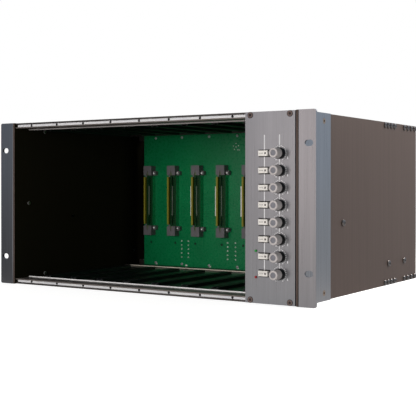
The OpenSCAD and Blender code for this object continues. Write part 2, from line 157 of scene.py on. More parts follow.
class PanelFinish(bpy.types.PropertyGroup):
    """Front panel of the control module with its print, buttons, knobs and lamps"""

    panel: colour("Panel", "Brushed finish of the panel", (0.224, 0.226, 0.234))
    ink: colour("Print", "Pale printed marks", (0.80, 0.80, 0.81))
    legend: colour("Legend", "Dark print on the buttons", (0.09, 0.075, 0.07))
    cap: colour("Button caps", "Off-white moulding", (0.86, 0.83, 0.78))
    bezel: colour("Button bezels", "Black moulding around a button", (0.014, 0.012, 0.010))
    knob: colour("Knobs", "Grey satin moulding", (0.57, 0.53, 0.52))
    knob_cap: colour("Knob caps", "Blue-grey insert of a knob", (0.19, 0.19, 0.215))
    pointer: colour("Pointers", "Pale filling of the pointer groove", (0.62, 0.60, 0.58))
    line_width: length("Line width", "Width of the printed column lines", 0.0013)
    dot: length("Dot size", "Diameter of a dial dot", 0.0015)
    dial: length("Dial radius", "Radius of the ring of dots", 0.0084)
    sweep: angle("Dial sweep", "Angle from the middle to each end", 150)
    ink_lift: length("Print thickness", "Height of the print over the paint", 0.00006)


class StudioLight(bpy.types.PropertyGroup):
    """Camera, floor and lamps"""

    front: level("Front light", "Radiance of the broad soft lamp in front", 5.2)
    card: level("Reflector", "Radiance of the card that the front faces mirror", 1.80)
    side: level("Side light", "Radiance of the soft lamp at the right", 14.5)
    fill: level("Fill light", "Strength of the surroundings", 0.22)
    front_room: level("Front room", "Surroundings behind the camera, as metal mirrors them", 0.52)
    back_room: level("Backdrop", "Backdrop as metal mirrors it", 0.95)
    lift: level("Floor lift", "Own light of the white floor", 0.80)
    lens: FloatProperty(name="Lens", description="Focal length", default=80.5, min=20.0,
                        unit="CAMERA")
    yaw: angle("Yaw", "Turn of the camera from square-on", 33.45)
    pitch: angle("Pitch", "Tilt of the camera", -0.25)
    eye: FloatVectorProperty(name="Camera place", description="Where the camera stands",
                             default=(0.6926, -0.9363, 0.0287), size=3, subtype="TRANSLATION",
                             unit="LENGTH")
    shift: FloatVectorProperty(name="Shift", description="Shift of the view", size=2,
                               default=(0.0433, -0.0512), subtype="XYZ")


# ---- material building


def grey(value):
    return (value, value, value)


def scaled(tint, factor):
    """A colour made darker or lighter, with no part above one"""
    return tuple(min(1.0, part * factor) for part in tint)


class Tree:
    """Short names for building a shader node tree"""

    def __init__(self, tree, coordinates):
        self.tree = tree
        self.coords = self.node("ShaderNodeTexCoord").outputs[coordinates]

    def put(self, value, socket):
        """Set an input, or link it when the value is another node's output"""
        if isinstance(value, bpy.types.NodeSocket):
            self.tree.links.new(value, socket)
        else:
            socket.default_value = value

    def node(self, kind, **values):
        """A new node; a value whose name is not one of its properties goes to that input"""
        made = self.tree.nodes.new(kind)
        for key, value in values.items():
            if hasattr(made, key):
                setattr(made, key, value)
            else:
                self.put(value, made.inputs[key.replace("_", " ")])
        return made

    def place(self, axis):
        return self.node("ShaderNodeSeparateXYZ", Vector=self.coords).outputs[axis]

    def compute(self, operation, *values):
        made = self.node("ShaderNodeMath", operation=operation)
        for value, socket in zip(values, made.inputs):
            self.put(value, socket)
        return made.outputs[0]

    def span(self, source, low, high, to_low=0.0, to_high=1.0):
        """A source between low and high, brought between to_low and to_high"""
        return self.node("ShaderNodeMapRange", Value=source, From_Min=low, From_Max=high,
                         To_Min=to_low, To_Max=to_high).outputs["Result"]

    def mix(self, blend, first, second, amount=1.0):
        return self.node("ShaderNodeMixRGB", blend_type=blend, Fac=amount, Color1=first,
                         Color2=second).outputs["Color"]

    def ramp(self, source, stops):
        """Colours along a source; each stop is a place from 0 to 1 and a colour"""
        made = self.node("ShaderNodeValToRGB", Fac=source)
        elements = made.color_ramp.elements
        while len(elements) < len(stops):
            elements.new(0.5)
        for element, (place, tint) in zip(elements, stops):
            element.position = place
            element.color = (*tint, 1.0)
        return made.outputs["Color"]


class Recipe(Tree):
    """A node material with one Principled shader"""

    def __init__(self, name, base, roughness=0.5, metallic=0.0, specular=0.5):
        self.material = bpy.data.materials.new(name)
        self.material.use_nodes = True
        super().__init__(self.material.node_tree, "Object")
        self.shader = self.tree.nodes["Principled BSDF"]
        self.inputs = self.shader.inputs
        self.base = tuple(base)
        self.material.diffuse_color = (*self.base, 1.0)
        self.inputs["Base Color"].default_value = (*self.base, 1.0)
        self.inputs["Roughness"].default_value = roughness
        self.inputs["Metallic"].default_value = metallic
        self.inputs["Specular IOR Level"].default_value = specular

    def noise(self, size, detail=2.0, stretch=(1, 1, 1)):
        grain = self.node("ShaderNodeMapping", Vector=self.coords,
                          Scale=[1 / (size * s) for s in stretch])
        return self.node("ShaderNodeTexNoise", Vector=grain.outputs["Vector"], Scale=1.0,
                         Detail=detail).outputs["Fac"]

    def distance(self, axis):
        """Distance from the middle of the cage along one axis"""
        return self.compute("ABSOLUTE", self.place(axis))

    def shade(self, source, spread):
        """A grey a little under and over one, to multiply a colour with"""
        return self.ramp(source, [(0.3, grey(1 - spread)), (0.7, grey(1 + spread))])

    def tones(self, source, spread):
        """The base colour a little darker and lighter along a source"""
        return self.ramp(source, [(0.3, scaled(self.base, 1 - spread)),
                                  (0.7, scaled(self.base, 1 + spread))])

    def paint(self, source):
        self.put(source, self.inputs["Base Color"])

    def vary_colour(self, source, spread):
        self.paint(self.tones(source, spread))

    def vary_roughness(self, source, low, high):
        self.put(self.span(source, 0.0, 1.0, low, high), self.inputs["Roughness"])

    def bump(self, source, depth):
        made = self.node("ShaderNodeBump", Strength=1.0, Distance=depth, Height=source)
        self.put(made.outputs["Normal"], self.inputs["Normal"])


def satin_paint(name, base, roughness, grain):
    recipe = Recipe(name, base, roughness)
    recipe.vary_colour(recipe.noise(0.05, 3.0), 0.05)
    fine = recipe.noise(grain)
    recipe.vary_roughness(fine, roughness - 0.05, roughness + 0.07)
    recipe.bump(fine, grain * 0.02)
    return recipe.material


def plate_paint(name, paint):
    """Satin outside, black inside as painted shade that deepens towards the rear, with the bare
    brown edge and a dark line of painted shade between them
    """
    recipe = Recipe(name, paint.side, paint.gloss + 0.12, specular=0.0)
    inner, edge, outer = tuple(paint.side_inner_shade), tuple(paint.side_edge), tuple(paint.side)
    across = recipe.span(recipe.distance("X"), *PLATE_FACES)
    outer_start = 0.93
    recipe.put(recipe.ramp(across, [(outer_start, grey(0.0)), (1.0, grey(0.6))]),
               recipe.inputs["Metallic"])
    # Across the plate: painted-shade black on the inner face, the brown edge, a painted shade line
    # by the outer face, then the satin outside
    faces = recipe.ramp(across, [(0.0, inner), (0.04, edge), (0.66, edge), (0.74, inner),
                                 (outer_start, inner), (1.0, outer)])
    beyond_inner_face = recipe.ramp(across, [(0.02, grey(0.0)), (0.04, grey(1.0))])
    # Painted shade: the inner face grows darker towards the rear
    painted_rear_shade = recipe.ramp(recipe.span(recipe.distance("Y"), *REAR_SHADE_DEPTHS),
                              [(0.0, grey(1.0)), (1.0, grey(0.25))])
    faces = recipe.mix("MULTIPLY", faces, recipe.mix("LIGHTEN", painted_rear_shade, beyond_inner_face))
    mottle = recipe.shade(recipe.noise(paint.brush * 1.6, 3.0, stretch=(1, 1, 90)), 0.07)
    recipe.paint(recipe.mix("MULTIPLY", faces, mottle))
    fine = recipe.noise(paint.grain)
    recipe.vary_roughness(fine, paint.gloss + 0.08, paint.gloss + 0.18)
    recipe.bump(fine, paint.grain * 0.02)
    return recipe.material


def slot_shading(recipe):
    """Grey that darkens the walls of the rack slots, behind the front of an ear"""
    near, far, fade = mm(225.6, 239.2, 0.6)
    reach = recipe.distance("X")
    inside = recipe.compute("MULTIPLY", recipe.span(reach, far, far - fade),
                            recipe.span(reach, near, near + fade))
    behind = recipe.span(recipe.distance("Y"), 0.02 * MM, 0.2 * MM)
    return recipe.ramp(recipe.compute("MULTIPLY", inside, behind),
                       [(0.1, grey(1.0)), (0.9, grey(0.25))])


def brushed_sheet(name, base, grain, shaded_slots=False):
    """Sheet brushed up and down, then anodised"""
    recipe = Recipe(name, base, 0.28, metallic=1.0)
    streaks = recipe.noise(grain, 3.0, stretch=(1, 1, 90))
    broad = recipe.noise(grain * 9, stretch=(1, 1, 40))
    tone = recipe.mix("MULTIPLY", recipe.tones(streaks, 0.08), recipe.shade(broad, 0.05))
    if shaded_slots:
        tone = recipe.mix("MULTIPLY", tone, slot_shading(recipe))
    recipe.paint(tone)
    recipe.vary_roughness(streaks, 0.24, 0.34)
    recipe.bump(streaks, grain * 0.03)
    return recipe.material


def brushed_metal(name, base, roughness, along=(1, 1, 1), grain=0.0004, metallic=1.0):
    recipe = Recipe(name, base, roughness, metallic)
    streaks = recipe.noise(grain, 3.0, stretch=along)
    recipe.vary_colour(recipe.noise(0.03), 0.06)
    recipe.vary_roughness(streaks, roughness - 0.06, roughness + 0.10)
    recipe.bump(streaks, grain * 0.02)
    return recipe.material


def banded_steel(name, base, axis, reach, stops, roughness, metallic):
    """Steel coloured by its distance from the middle of the cage"""
    recipe = Recipe(name, base, roughness[1], metallic)
    recipe.paint(recipe.ramp(recipe.span(recipe.distance(axis), *reach), stops))
    recipe.vary_roughness(recipe.noise(0.0005), *roughness)
    return recipe.material


def anodised(name, base):
    """Bronze anodising, with painted shade darkening the outer flanges"""
    recipe = Recipe(name, base, 0.40, metallic=0.5)
    tone = recipe.ramp(recipe.span(recipe.distance("Z"), *FLANGE_SHADE_HEIGHTS),
                       [(0.45, recipe.base), (0.65, scaled(base, 0.35))])
    streaks = recipe.noise(0.0004, 3.0, stretch=(60, 1, 1))
    recipe.paint(recipe.mix("MULTIPLY", tone, recipe.shade(streaks, 0.06)))
    recipe.vary_roughness(streaks, 0.34, 0.48)
    return recipe.material


def moulded(name, base, roughness, grain=0.0005, depth=0.02, specular=0.5):
    recipe = Recipe(name, base, roughness, specular=specular)
    recipe.vary_colour(recipe.noise(0.01), 0.06)
    fine = recipe.noise(grain)
    recipe.vary_roughness(fine, roughness - 0.05, roughness + 0.06)
    recipe.bump(fine, grain * depth)
    return recipe.material


def lacquered_board(name, base):
    """Solder mask: cloudy green over the weave of the laminate"""
    recipe = Recipe(name, base, 0.26)
    recipe.vary_colour(recipe.noise(0.02, 3.0), 0.08)
    weave = recipe.noise(0.0009, 1.0)
    recipe.vary_roughness(recipe.noise(0.004), 0.22, 0.34)
    recipe.bump(weave, 0.00001)
    return recipe.material


def assign(material, *nodes):
    for name in nodes:
        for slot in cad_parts[name].material_slots:
            slot.material = material


# ---- mesh building


def add_box(mesh, low, high):
    low, high = Vector(low), Vector(high)
    place = Matrix.Translation((low + high) / 2) @ Matrix.Diagonal((*(high - low), 1.0))
    return bmesh.ops.create_cube(mesh, size=1.0, matrix=place)["verts"]


def add_slab(mesh, left, right, front, back, half):
    """A box that stands half its height above and below the middle of the cage"""
    add_box(mesh, (left, front, -half), (right, back, half))


def add_rod(mesh, centre, radius, depth, axis="Y", sides=20, top=None):
    """A round bar; top is the radius of its end towards -Y, +X or +Z"""
    turn = {"X": Matrix.Rotation(math.pi / 2, 4, "Y"), "Y": Matrix.Rotation(math.pi / 2, 4, "X"),
            "Z": Matrix.Identity(4)}[axis]
    place = Matrix.Translation(centre) @ turn
    end = radius if top is None else top
    return bmesh.ops.create_cone(mesh, cap_ends=True, segments=sides, radius1=radius,
                                 radius2=end, depth=depth, matrix=place)["verts"]


def add_ring(mesh, centre, outer, inner, depth, sides=32):
    """A flat ring around the Y axis"""
    corners = []
    for k in range(sides):
        turn = 2 * math.pi * k / sides
        corners.append([mesh.verts.new((centre[0] + r * math.cos(turn), centre[1] + d,
                                        centre[2] + r * math.sin(turn)))
                        for r, d in ((outer, -depth / 2), (outer, depth / 2),
                                     (inner, depth / 2), (inner, -depth / 2))])
    for k in range(sides):
        here, there = corners[k], corners[(k + 1) % sides]
        for n in range(4):
            mesh.faces.new((here[n], here[(n + 1) % 4], there[(n + 1) % 4], there[n]))


def add_prism(mesh, outline, low, high, axis="X"):
    """An outline in the two other axes, in order, run along axis from low to high"""
    def point(place, pair):
        values = list(pair)
        values.insert("XYZ".index(axis), place)
        return mesh.verts.new(values)
    rings = [[point(place, pair) for pair in outline] for place in (low, high)]
    count = len(outline)
    for k in range(count):
        mesh.faces.new((rings[0][k], rings[0][(k + 1) % count],
                        rings[1][(k + 1) % count], rings[1][k]))
    for ring in rings:
        mesh.faces.new(ring)


def piece(name, mesh, material, body=FIXED, smooth_angle=None, bevel=0.0):
    """An object made of a mesh, with the body that it rides on"""
    data = bpy.data.meshes.new(name)
    bmesh.ops.recalc_face_normals(mesh, faces=mesh.faces)
    mesh.to_mesh(data)
    mesh.free()
    made = bpy.data.objects.new(name, data)
    bpy.context.scene.collection.objects.link(made)
    data.materials.append(material)
    if bevel:
        rounding = made.modifiers.new("Edges", "BEVEL")
        rounding.width = bevel
        rounding.segments = 2
        rounding.limit_method = "ANGLE"
    if smooth_angle is not None:
        data.shade_smooth()
        data.set_sharp_from_angle(angle=math.radians(smooth_angle))
    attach(made, body)
    return made


def channel_nodes(name):
    return [f"{name}_{k}" for k in CHANNELS]


def centre_of(node):
    low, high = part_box(node)
    return (low + high) / 2


def slot_lines():
    """Centre lines of the open card slots, then of the module's own"""
    pitch = bpy.context.scene.board_finish.slot_pitch
    return [FIRST_SLOT + pitch * k for k in range(OPEN_SLOTS)] + [centre_of("module_board").x]


def contact_heights():
    pitch = bpy.context.scene.board_finish.pitch
    return [pitch * (row - (CONTACT_ROWS - 1) / 2) for row in range(CONTACT_ROWS)]


# ---- operators


class CAGE_OT_sheet_metal(bpy.types.Operator):
    """Finish the side plates, the rack ears and the covers"""

    bl_idname = "card_cage.sheet_metal"
    bl_label = "Sheet metal"

    def execute(self, context):
        paint = context.scene.cage_paint
        assign(plate_paint("Side paint", paint), "side_plate_left", "side_plate_right")
        assign(brushed_sheet("Ear finish", tuple(paint.ear), paint.brush, shaded_slots=True),
               "rack_ear_left", "rack_ear_right")
        assign(satin_paint("Cover paint", paint.cover, 0.30, paint.grain),
               "cover_top", "cover_bottom")
        return {"FINISHED"}


class CAGE_OT_rails(bpy.types.Operator):
    """Finish the extruded rails, the threaded strips and the card guides"""

    bl_idname = "card_cage.rails"
    bl_label = "Rails and guides"

    front_lip, rear_nose = mm(28.6, 250.8)  # how deep the bare edges lie
    bare_from, bare_to = mm(102.05, 103.5)  # and how high
    hole_y, hole_r, hole_depth = mm(7.28, 1.7, 0.6)

    def execute(self, context):
        paint = context.scene.cage_paint
        assign(anodised("Anodised rail", paint.rail), "front_rail_top", "front_rail_bottom")
        # The rear rails take the rail colour at 0.3: painted shade at the back of the cage
        assign(anodised("Anodised rear rail", scaled(paint.rail, 0.3)),
               "rear_rail_top", "rear_rail_bottom", "rear_crossbar_top", "rear_crossbar_bottom")
        assign(brushed_metal("Zinc strip", paint.strip, 0.34, along=(40, 1, 1), metallic=0.0),
               "threaded_strip_top", "threaded_strip_bottom")
        assign(moulded("Guide nylon", paint.guide, 0.40), "card_guides")
        front_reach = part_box("front_rail_bottom")[1].x - 0.4 * MM
        rear_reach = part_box("backplane")[1].x
        self.bare_edge("lower", -1, self.front_lip, front_reach, paint.milled)
        self.bare_edge("upper", 1, self.front_lip, front_reach, paint.milled_upper)
        self.bare_edge("rear", -1, self.rear_nose, rear_reach, paint.milled_rear)
        self.hole_shade()
        return {"FINISHED"}

    def bare_edge(self, name, side, depth, reach, tint):
        """Bare milled edge along the lip of a rail, its brightness partly a painted highlight"""
        low, high = sorted((side * self.bare_from, side * self.bare_to))
        mesh = bmesh.new()
        add_box(mesh, (-reach, depth - 0.06 * MM, low), (reach, depth + 0.02 * MM, high))
        metal = brushed_metal(f"Milled edge {name}", tint, 0.34, along=(40, 1, 1), metallic=0.1)
        piece(f"lip_edge_{name}", mesh, metal)

    def hole_shade(self):
        """Painted shade: dark discs for the depth of the threaded holes in the strips"""
        mesh = bmesh.new()
        height = centre_of("threaded_strip_top").z
        for x in slot_lines()[:OPEN_SLOTS]:
            for z in (-height, height):
                add_rod(mesh, (x, self.hole_y, z), self.hole_r, self.hole_depth, sides=24)
        piece("strip_hole_shade", mesh, moulded("Hole shadow", (0.008, 0.007, 0.006), 0.7))


class CAGE_OT_screws(bpy.types.Operator):
    """Finish the screws and the nut covers, and add the nuts and the heads' small parts"""

    bl_idname = "card_cage.screws"
    bl_label = "Screws"

    nut_sites = mm(29, 0), mm(62, 101.1), mm(62, -101.1)  # depth and height on a side plate
    nut_x, nut_r, nut_depth = mm(215.95, 2.5, 1.3)
    # Place and size of the painted highlight dome on each connector screw
    crown_place = mm(10.2, 279.15, 43.7)  # from a slot's centre line
    crown_r, crown_top_r, crown_depth = mm(1.3, 0.8, 0.26)
    head_r, gap_r, socket_r = mm(3.1, 3.66, 1.47)

    def execute(self, context):
        paint = context.scene.cage_paint
        assign(brushed_metal("Bronzed steel", paint.screw_dark, 0.42), "panel_screws")
        assign(brushed_metal("Ear screw steel", paint.screw_ear, 0.40), "ear_screws")
        # Side screws turn near-black inside the plates: painted shade, as on the plates' inner
        # faces
        assign(banded_steel("Blackened steel", paint.screw_black, "X", mm(215, 220),
                            [(0.3, grey(0.004)), (0.5, tuple(paint.screw_black))],
                            roughness=(0.20, 0.32), metallic=1.0), "side_screws")
        assign(banded_steel("Zinc steel", paint.screw_zinc, "Z", mm(0, 120),
                            [(0.45, scaled(paint.screw_zinc, 0.5)),
                             (0.6, scaled(paint.screw_zinc, 0.7))],
                            roughness=(0.26, 0.40), metallic=0.5), "board_screws")
        assign(moulded("Nut covers", paint.guide, 0.5, specular=0.15), "pot_nuts")
        self.sockets()
        self.nuts(paint)
        self.crown_highlights(paint)
        return {"FINISHED"}

    def nuts(self, paint):
        """Fixed nuts of the ear screws, inside the side plates"""
        mesh = bmesh.new()
        for side in (-1, 1):
            for y, z in self.nut_sites:
                add_rod(mesh, (side * self.nut_x, y, z), self.nut_r, self.nut_depth, axis="X",
                        sides=28)
        steel = brushed_metal("Clinch nut steel", scaled(paint.screw_zinc, 0.35), 0.36,
                              metallic=0.4)
        piece("clinch_nuts", mesh, steel, smooth_angle=40, bevel=0.2 * MM)

    def crown_highlights(self, paint):
        """Painted highlight: a bright raised dome in the middle of each connector screw"""
        mesh = bmesh.new()
        aside, y, height = self.crown_place
        for x in slot_lines():
            for z in (-height, height):
                add_rod(mesh, (x + aside, y, z), self.crown_r, self.crown_depth, sides=16,
                        top=self.crown_top_r)
        bright = brushed_metal("Crown highlight", scaled(paint.screw_zinc, 1.22), 0.3, metallic=0.1)
        piece("screw_crown_highlights", mesh, bright, smooth_angle=40)

    def sockets(self):
        """Painted shade: dark rings in the counterbores and dark discs in the hexagon sockets on
        the panel
        """
        middle, centre = centre_of("front_panel"), centre_of("panel_screws")
        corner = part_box("panel_screws")[1] - centre
        mesh = bmesh.new()
        for side in (-1, 1):
            x = middle.x + side * (corner.x - self.head_r)
            for end in (-1, 1):
                z = end * (corner.z - self.head_r)
                add_ring(mesh, (x, 0.2 * MM, z), self.gap_r, self.head_r + 0.02 * MM, 1.0 * MM)
                add_rod(mesh, (x, 0.35 * MM, z), self.socket_r, 0.9 * MM, sides=24)
        piece("screw_shadows", mesh, moulded("Screw shadow", (0.012, 0.008, 0.006), 0.6))


class CAGE_OT_backplane(bpy.types.Operator):
    """Lacquer the backplane and add its print, pads, pins and bus tracks"""

    bl_idname = "card_cage.backplane"
    bl_label = "Backplane"

    bar_x, bar_w, bar_half = mm(-14.6, 3.2, 23.2)  # place from a slot's centre line
    patch_xs = mm(-181, -123, -79, -29)
    patch_half, patch_low, patch_high = mm(1.8, -103, -101)
    pad_xs = mm(-131.9, -119.3, -46.9, -32.8)
    pads_in_column = 5
    pad_low, pad_pitch = mm(-89.2, 6.35)
    hole_xs = mm(-191.6, -144.2, -106.3, -57.5, -19.2)
    hole_z = -67.3 * MM
    cluster_place = -31.9, 83.1
    cluster = (0, 5.5), (-4.5, 1.5), (4.2, 1.8), (-2.8, -3.4), (3.4, -4.4), (6.0, -4.6), (0, 0)

    def execute(self, context):
        board = context.scene.board_finish
        assign(lacquered_board("Backplane mask", tuple(board.mask)), "backplane")
        low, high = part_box("backplane")
        tin = brushed_metal("Tinned copper", board.tin, 0.36, metallic=0.3)
        self.print_marks(low.y, moulded("Silk print", board.silk, 0.55, grain=0.0002, depth=0.01))
        # Drilled holes are drawn as dark discs of painted shade
        self.pads(low.y, tin, moulded("Drilled hole", (0.004, 0.012, 0.006), 0.6))
        self.rear(board, high.y, tin)
        return {"FINISHED"}

    def print_marks(self, face, silk):
        """White bars beside the connectors and small patches at the lower edge"""
        mesh = bmesh.new()
        front, back = face - 0.05 * MM, face + 0.05 * MM
        for x in slot_lines()[2:OPEN_SLOTS]:
            middle = x + self.bar_x
            add_slab(mesh, middle - self.bar_w / 2, middle + self.bar_w / 2, front, back,
                     self.bar_half)
        for x in self.patch_xs:
            add_box(mesh, (x - self.patch_half, front, self.patch_low),
                    (x + self.patch_half, back, self.patch_high))
        piece("silk_marks", mesh, silk)

    def pads(self, face, tin, dark):
        """Columns of drilled pads, a cluster of small ones, and a row of larger holes; the holes
        are dark discs of painted shade
        """
        rings, holes = bmesh.new(), bmesh.new()
        for x in self.pad_xs:
            for k in range(self.pads_in_column):
                z = self.pad_low + self.pad_pitch * k
                add_rod(rings, (x, face, z), 1.15 * MM, 0.14 * MM, sides=16)
                add_rod(holes, (x, face - 0.04 * MM, z), 0.5 * MM, 0.12 * MM, sides=12)
        middle_x, middle_z = self.cluster_place
        for x, z in self.cluster:
            add_rod(rings, ((middle_x + x) * MM, face, (middle_z + z) * MM), 0.75 * MM, 0.14 * MM,
                    sides=16)
        for x in self.hole_xs:
            add_rod(holes, (x, face, self.hole_z), 1.9 * MM, 0.12 * MM, sides=20)
        piece("pad_rings", rings, tin)
        piece("pad_holes", holes, dark)

    def rear(self, board, face, tin):
        """Solder side: two rows of pins for each connector, joined by bus tracks"""
        pins, tracks = bmesh.new(), bmesh.new()
        lines = slot_lines()
        track_half, track_overrun = mm(0.5, 6)
        for z in contact_heights():
            add_box(tracks, (lines[0] - track_overrun, face - 0.03 * MM, z - track_half),
                    (lines[-1] + track_overrun, face + 0.05 * MM, z + track_half))
            for x in lines:
                for side in (-1, 1):
                    at = x + side * CONTACT_X
                    add_rod(pins, (at, face + 0.35 * MM, z), 0.45 * MM, 0.7 * MM, sides=10,
                            top=1.1 * MM)
                    add_rod(pins, (at, face + 1.0 * MM, z), 0.38 * MM, 1.4 * MM, sides=8)
        piece("solder_pins", pins, tin, smooth_angle=40)
        piece("bus_tracks", tracks, lacquered_board("Track under mask", scaled(board.mask, 1.5)))


class CAGE_OT_connectors(bpy.types.Operator):
    """Finish the edge connectors and set their contacts, springs and walls"""

    bl_idname = "card_cage.connectors"
    bl_label = "Edge connectors"

    skin = 0.06 * MM  # half thickness of a coloured skin
    face_y, body_half = mm(281, 40.4)
    body_left, body_right = mm(-4.7, 7)  # from a slot's centre line
    # In mm: sides of the ledges; middle, half width, half height and depth of the channels
    ledges = (-4.7, -3.25), (-1.95, -1.0), (1.0, 1.95), (3.25, 7.0)
    grooves = (-2.6, 0.65, 36, 1.6), (0, 1, 38.6, 5.5), (2.6, 0.65, 36, 1.6)
    wall_y, wall_half = mm(276.5, 37.6)
    # Sections of a contact, a spring and a lead-in, in mm
    contact_half, spring_half = mm(0.5, 23.2)
    bow = ((282.8, -1.3), (282.0, -1.3), (281.3, -0.7), (281.1, 0.0), (281.3, 0.7), (282.0, 1.3),
           (282.8, 1.3))
    spring = (-1.05, 286.2), (-1.05, 281.2), (-0.8, 281.0), (-0.45, 281.2), (-0.5, 286.2)
    tongue = (-2, 40.6), (2, 40.6), (0.3, 46.8), (-0.3, 46.8)

    def execute(self, context):
        board = context.scene.board_finish
        assign(moulded("Connector moulding", board.moulding, 0.45), "edge_connectors")
        self.contacts(board)
        self.bodies(board)
        return {"FINISHED"}

    def contacts(self, board):
        """Bowed contacts in two rows, and a bright spring along each card slot"""
        leaves, springs = bmesh.new(), bmesh.new()
        for x in slot_lines():
            for side in (-1, 1):
                middle = x + side * CONTACT_X
                for z in contact_heights():
                    add_prism(leaves, [(y * MM, z + h * MM) for y, h in self.bow],
                              middle - self.contact_half, middle + self.contact_half)
            add_prism(springs, [(x + aside * MM, y * MM) for aside, y in self.spring],
                      -self.spring_half, self.spring_half, axis="Z")
        # The contacts' gold is darkened as painted shade
        piece("contacts", leaves, brushed_metal("Gold flash", board.contact, 0.34))
        tin = brushed_metal("Spring tin", board.spring, 0.36, metallic=0.2)
        piece("slot_springs", springs, tin)

    def bodies(self, board):
        """Coloured skins on the contact bodies and their walls, and the lead-in at each end"""
        faces, sides, edges, flanks = bmesh.new(), bmesh.new(), bmesh.new(), bmesh.new()
        tongues = bmesh.new()
        front, back = self.face_y - self.skin, self.face_y + self.skin
        for x in slot_lines():
            for left, right in self.ledges:
                add_slab(faces, x + left * MM, x + right * MM, front, back, self.body_half)
            for groove in self.grooves:
                self.line_groove(faces, x, *groove)
            self.upright_skin(sides, x + self.body_left, self.wall_y + 0.1 * MM, front,
                              self.wall_half)
            self.upright_skin(flanks, x + self.body_right, self.face_y + 0.1 * MM, 287.9 * MM,
                              self.body_half)
            add_slab(edges, x - 7.55 * MM, x - 4.65 * MM, self.wall_y - self.skin,
                     self.wall_y + self.skin, self.wall_half)
            for end in (-1, 1):
                add_prism(tongues, [(x + aside * MM, end * z * MM) for aside, z in self.tongue],
                          276.8 * MM, 281.9 * MM, axis="Y")
        for name, mesh, material, slot in (
                ("lead_ins", tongues, moulded("Lead-in", (0.10, 0.13, 0.06), 0.5), MOULDING),
                ("contact_faces", faces, moulded("Contact body", board.face, 0.65), MOULDING),
                # The flanks take the board's mask at 2.2 times: painted light, to look as lit as
                # the board beside them
                ("body_flanks", flanks, lacquered_board("Green flank", scaled(board.mask, 2.2)),
                 "backplane_laminate"),
                ("wall_sides", sides, moulded("Wall side", board.wall, 0.5), MOULDING),
                ("wall_edges", edges, moulded("Wall edge", board.wall_edge, 0.5), MOULDING)):
            piece(name, mesh, material)

    def upright_skin(self, mesh, x, front, back, half):
        add_slab(mesh, x - self.skin, x + self.skin, front, back, half)

    def line_groove(self, mesh, x, middle, half_width, end, depth):
        """Skins on both walls of a channel and over the solid ends beyond it, sizes in mm"""
        for side in (-1, 1):
            self.upright_skin(mesh, x + (middle + side * half_width) * MM, self.face_y,
                              self.face_y + depth * MM, end * MM)
            low, high = sorted((side * end * MM, side * self.body_half))
            add_box(mesh, (x + (middle - half_width) * MM, self.face_y - self.skin, low),
                    (x + (middle + half_width) * MM, self.face_y + self.skin, high))


class CAGE_OT_front_panel(bpy.types.Operator):
    """Finish the module's front panel and print its lines and dials"""

    bl_idname = "card_cage.front_panel"
    bl_label = "Front panel"

    line_rise = 21.2 * MM  # above the first button
    marks, small_mark = 21, 0.75  # dots of a dial, size of most
    dashes = (-4.1, -7.4, 2.4, 1.3), (10.4, -5.6, 1.2, 2.6)  # place and size beside a knob

    def execute(self, context):
        finish = context.scene.panel_finish
        sheet = brushed_sheet("Panel finish", tuple(finish.panel), context.scene.cage_paint.brush)
        assign(sheet, "front_panel")
        ink = moulded("Printing ink", finish.ink, 0.5, grain=0.0002, depth=0.01)
        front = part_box("front_panel")[0].y
        back, face = front + finish.ink_lift, front - finish.ink_lift
        self.column_lines(finish, ink, face, back)
        self.dials(finish, ink, front, face, back)
        return {"FINISHED"}

    def column_lines(self, finish, ink, face, back):
        mesh = bmesh.new()
        last, top = centre_of("button_8").z, centre_of("button_1").z + self.line_rise
        half = finish.line_width / 2
        for column in ("button", "knob"):
            x = centre_of(f"{column}_1").x
            add_box(mesh, (x - half, face, last), (x + half, back, top))
        piece("column_lines", mesh, ink)

    def dials(self, finish, ink, front, face, back):
        """A ring of dots and two short dashes round each knob"""
        mesh = bmesh.new()
        half_count = self.marks // 2
        for k in CHANNELS:
            middle = centre_of(f"knob_{k}")
            for mark in range(self.marks):
                angle = finish.sweep * (mark - half_count) / half_count
                size = finish.dot if mark % half_count == 0 else self.small_mark * finish.dot
                add_rod(mesh, (middle.x + finish.dial * math.sin(angle), front,
                               middle.z + finish.dial * math.cos(angle)),
                        size / 2, 2 * finish.ink_lift, sides=12)
            for x, z, width, height in self.dashes:
                left, low = middle.x + (x - width / 2) * MM, middle.z + (z - height / 2) * MM
                add_box(mesh, (left, face, low), (left + width * MM, back, low + height * MM))
        piece("dial_dots", mesh, ink)


class CAGE_OT_buttons(bpy.types.Operator):
    """Finish the push buttons, print legends on their caps, and paint shade in their hollows"""

    bl_idname = "card_cage.buttons"
    bl_label = "Push buttons"

    legends = ((2.1, 4.1, -1.1, 1.1),)  # left, right, low and high
    # Hollows are drawn as flat patches of the cap colour at 0.55: painted shade
    hollows = (-4.4, -3.2, -0.7, 0.7), (-2.7, -1.5, -0.7, 0.7), (-1.0, 0.2, -0.7, 0.7)

    def execute(self, context):
        finish = context.scene.panel_finish
        assign(moulded("Button cap", finish.cap, 0.35), *channel_nodes("button"))
        assign(moulded("Switch moulding", finish.bezel, 0.4), "push_switches")
        prints = (("legend", self.legends, finish.legend),
                  ("hollow", self.hollows, scaled(finish.cap, 0.55)))
        prints = [(name, marks, moulded(f"Button {name}", tint, 0.5, grain=0.0002))
                  for name, marks, tint in prints]
        for k in CHANNELS:
            middle, face = centre_of(f"button_{k}"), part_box(f"button_{k}")[0].y
            front, back = face - finish.ink_lift, face + finish.ink_lift
            for name, marks, ink in prints:
                mesh = bmesh.new()
                for left, right, low, high in marks:
                    add_box(mesh, (middle.x + left * MM, front, middle.z + low * MM),
                            (middle.x + right * MM, back, middle.z + high * MM))
                piece(f"button_{name}_{k}", mesh, ink, f"channel_{k}_button")
        return {"FINISHED"}


